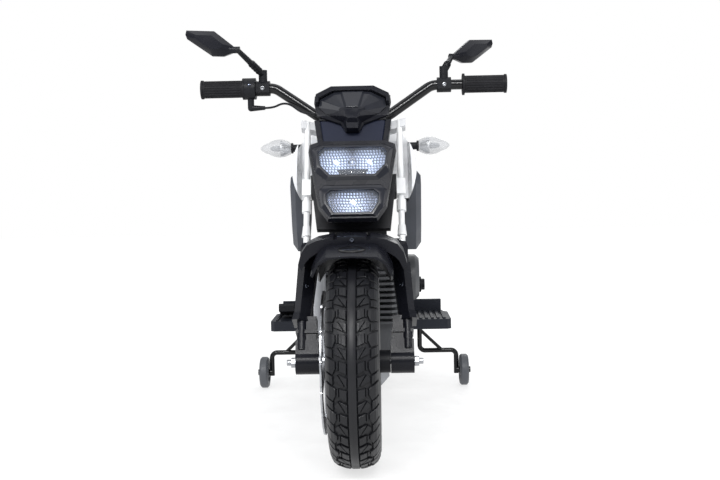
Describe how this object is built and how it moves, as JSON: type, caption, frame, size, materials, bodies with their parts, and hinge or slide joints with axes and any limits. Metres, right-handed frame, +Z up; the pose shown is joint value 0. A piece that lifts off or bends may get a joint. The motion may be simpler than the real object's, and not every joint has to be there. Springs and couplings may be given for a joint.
{
  "type": "kids electric motorbike",
  "caption": "Child's battery ride-on motorbike with stacked headlight, block-tread tyres, sprung fork, twist throttle, foot pedal, folding mirrors and training wheels.",
  "frame": {"origin": "on the floor, midway between the wheels and below the middle of the bike", "axes": "+Z up, +Y towards the back of the bike, +X towards the rider's left; the front faces -Y"},
  "size_m": [0.5821, 1.08, 0.7528],
  "materials": {
    "white_plastic": "gloss moulded",
    "black_gloss": "semi-gloss moulded",
    "black_plastic": "satin moulded",
    "grey_plastic": "satin moulded",
    "silver_plastic": "silver moulded",
    "tread": "matte foam rubber",
    "grip_rubber": "matte",
    "black_metal": "gloss paint",
    "white_metal": "gloss paint",
    "steel": "zinc plated",
    "chromed": "bright",
    "clear_lens": "clear",
    "red_lens": "tinted",
    "mirror": "silvered",
    "seat_cover": "grained"
  },
  "bodies": {
    "chassis": {"main_frame": "black_metal", "engine_left": "grey_plastic", "engine_right": "grey_plastic", "exhaust": "silver_plastic", "fuel_tank": "white_plastic", "side_panel_left": "grey_plastic", "side_panel_right": "grey_plastic", "seat_base": "black_plastic", "seat_pad": "seat_cover", "tail_cover": "white_plastic", "tail_light_lens": "red_lens", "rear_fender": "black_plastic", "turn_signal_stems": "black_plastic", "turn_signal_lenses": "clear_lens", "swingarm": "black_plastic", "rear_axle": "steel", "gearbox": "black_plastic", "drive_motor": "steel", "battery": "black_plastic", "control_module": "black_plastic", "footrest_left": "grey_plastic", "footrest_right": "grey_plastic", "training_bracket_left": "black_metal", "training_bracket_right": "black_metal", "charge_socket": "black_plastic"},
    "steering": {"lower_yoke": "black_plastic", "upper_yoke": "white_plastic", "fork_tubes": "white_metal", "handlebar": "black_metal", "left_grip": "grip_rubber", "throttle_housing": "black_plastic", "mirror_clamps": "black_plastic", "headlight_nacelle": "black_gloss", "headlight_bezels": "black_gloss", "headlight_lenses": "clear_lens", "headlight_reflectors": "chromed", "instrument_cowl": "black_plastic", "dash_panel": "black_plastic", "throttle_cable": "grip_rubber"},
    "fork_slider": {"fork_leg_left": "black_plastic", "fork_leg_right": "black_plastic", "front_fender": "black_gloss", "front_axle": "steel"},
    "front_wheel": {"front_tyre": "tread", "front_rim": "black_plastic", "brake_disc": "silver_plastic"},
    "rear_wheel": {"rear_tyre": "tread", "rear_rim": "black_plastic"},
    "training_wheel_left": {"training_wheel_left": "black_plastic"},
    "training_wheel_right": {"training_wheel_right": "black_plastic"},
    "mirror_arm_left": {"mirror_arm_left": "black_plastic"},
    "mirror_arm_right": {"mirror_arm_right": "black_plastic"},
    "mirror_head_left": {"mirror_housing_left": "black_gloss", "mirror_glass_left": "mirror"},
    "mirror_head_right": {"mirror_housing_right": "black_gloss", "mirror_glass_right": "mirror"},
    "throttle": {"throttle_grip": "grip_rubber"},
    "pedal": {"foot_pedal": "grey_plastic"},
    "power_switch": {"power_switch": "black_gloss"},
    "direction_switch": {"direction_switch": "black_gloss"}
  },
  "joints": [
    {"name": "steering_turn", "type": "hinge", "parent": "chassis", "child": "steering", "pos_m": [0, -0.18181, 0.51269], "axis": [0, 0.4067, 0.9135], "range_deg": [-28, 28]},
    {"name": "fork_slide", "type": "slide", "parent": "steering", "child": "fork_slider", "axis": [0, 0.4067, 0.9135], "range_m": [0, 0.01], "stiffness_N_per_m": 8000, "springref_m": -0.0125},
    {"name": "front_wheel_spin", "type": "hinge", "parent": "fork_slider", "child": "front_wheel", "pos_m": [0, -0.365, 0.175], "axis": [1, 0, 0], "continuous": true},
    {"name": "rear_wheel_spin", "type": "hinge", "parent": "chassis", "child": "rear_wheel", "pos_m": [0, 0.365, 0.175], "axis": [1, 0, 0], "continuous": true},
    {"name": "training_wheel_left_spin", "type": "hinge", "parent": "chassis", "child": "training_wheel_left", "pos_m": [0.233, 0.3, 0.036], "axis": [1, 0, 0], "continuous": true},
    {"name": "training_wheel_right_spin", "type": "hinge", "parent": "chassis", "child": "training_wheel_right", "pos_m": [-0.233, 0.3, 0.036], "axis": [1, 0, 0], "continuous": true},
    {"name": "throttle_twist", "type": "hinge", "parent": "steering", "child": "throttle", "pos_m": [-0.244, -0.1428, 0.65413], "axis": [-1, 0, 0], "range_deg": [0, 50], "stiffness_Nm_per_rad": 0.3, "springref_deg": -20.05},
    {"name": "mirror_left_swivel", "type": "hinge", "parent": "steering", "child": "mirror_arm_left", "pos_m": [0.169, -0.1428, 0.67233], "axis": [0, 0, 1], "range_deg": [-60, 60]},
    {"name": "mirror_right_swivel", "type": "hinge", "parent": "steering", "child": "mirror_arm_right", "pos_m": [-0.169, -0.1428, 0.67233], "axis": [0, 0, 1], "range_deg": [-60, 60]},
    {"name": "mirror_left_tilt", "type": "hinge", "parent": "mirror_arm_left", "child": "mirror_head_left", "pos_m": [0.19005, -0.05838, 0.71633], "axis": [0.9063, 0.4226, 0], "range_deg": [-20, 20]},
    {"name": "mirror_right_tilt", "type": "hinge", "parent": "mirror_arm_right", "child": "mirror_head_right", "pos_m": [-0.20439, -0.22228, 0.71633], "axis": [-1, 0, 0], "range_deg": [-20, 20]},
    {"name": "pedal_press", "type": "hinge", "parent": "chassis", "child": "pedal", "pos_m": [-0.1575, 0.15, 0.196], "axis": [1, 0, 0], "range_deg": [0, 8], "stiffness_Nm_per_rad": 0.8, "springref_deg": -14.32},
    {"name": "power_switch_rock", "type": "hinge", "parent": "steering", "child": "power_switch", "pos_m": [0.038, -0.18651, 0.62752], "axis": [1, 0, 0], "range_deg": [0, 14]},
    {"name": "direction_switch_rock", "type": "hinge", "parent": "steering", "child": "direction_switch", "pos_m": [-0.038, -0.18651, 0.62752], "axis": [1, 0, 0], "range_deg": [0, 14]}
  ]
}
